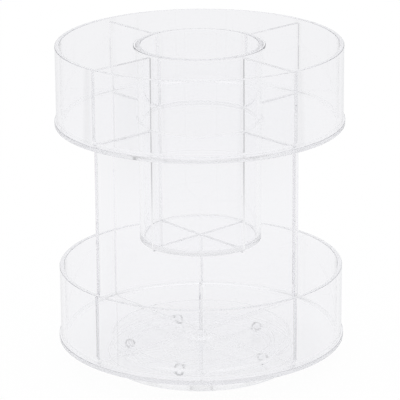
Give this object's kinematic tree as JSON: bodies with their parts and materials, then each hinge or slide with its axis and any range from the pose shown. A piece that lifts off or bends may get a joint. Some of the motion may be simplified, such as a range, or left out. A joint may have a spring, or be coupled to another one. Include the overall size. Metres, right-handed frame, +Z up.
{
  "type": "rotating makeup organizer",
  "caption": "Clear acrylic two-tier carousel for make-up, with round walled trays, crossed upright panels and a lift-out brush cup, turning on a ball-bearing base.",
  "frame": {"origin": "on the ground, at the centre of the turning axis", "axes": "+Z up along the turning axis; the four compartments face -Y (front), +X (right), +Y (back) and -X (left)"},
  "size_m": [0.253, 0.253, 0.2903],
  "materials": {
    "clear_acrylic": "clear, polished",
    "clear_cement": "clear, smooth bead",
    "clear_nylon": "clear to milky, moulded",
    "clear_ball": "clear, polished",
    "clear_rubber": "clear, slightly milky"
  },
  "bodies": {
    "base": {"base_dish": "clear_acrylic", "rubber_foot_1": "clear_rubber", "rubber_foot_2": "clear_rubber", "rubber_foot_3": "clear_rubber", "rubber_foot_4": "clear_rubber", "rubber_foot_5": "clear_rubber"},
    "bearing": {"ball_cage": "clear_nylon", "bearing_ball_1": "clear_ball", "bearing_ball_2": "clear_ball", "bearing_ball_3": "clear_ball", "bearing_ball_4": "clear_ball", "bearing_ball_5": "clear_ball"},
    "carousel": {"rotor_dish": "clear_acrylic", "pivot_pin": "clear_nylon", "retaining_washer": "clear_nylon", "retaining_screw": "clear_nylon", "lower_floor": "clear_acrylic", "lower_wall": "clear_acrylic", "lower_cement_cove": "clear_cement", "cross_panel_slotted_above": "clear_acrylic", "cross_panel_slotted_below": "clear_acrylic", "upper_floor": "clear_acrylic", "upper_wall": "clear_acrylic", "upper_cement_cove": "clear_cement", "upper_divider_front_left": "clear_acrylic", "upper_divider_front_right": "clear_acrylic", "upper_divider_back_right": "clear_acrylic", "upper_divider_back_left": "clear_acrylic"},
    "cup": {"brush_cup": "clear_acrylic"}
  },
  "joints": [
    {"name": "carousel_spin", "type": "hinge", "parent": "base", "child": "carousel", "pos_m": [0, 0, 0.0142], "axis": [0, 0, 1], "continuous": true},
    {"name": "bearing_turn", "type": "hinge", "parent": "base", "child": "bearing", "pos_m": [0, 0, 0.0098], "axis": [0, 0, 1], "continuous": true},
    {"name": "cup_lift", "type": "slide", "parent": "carousel", "child": "cup", "axis": [0, 0, 1], "range_m": [0, 0.18]}
  ],
  "couplings": [
    {"joint": "bearing_turn", "follows": "carousel_spin", "ratio": 0.5}
  ]
}
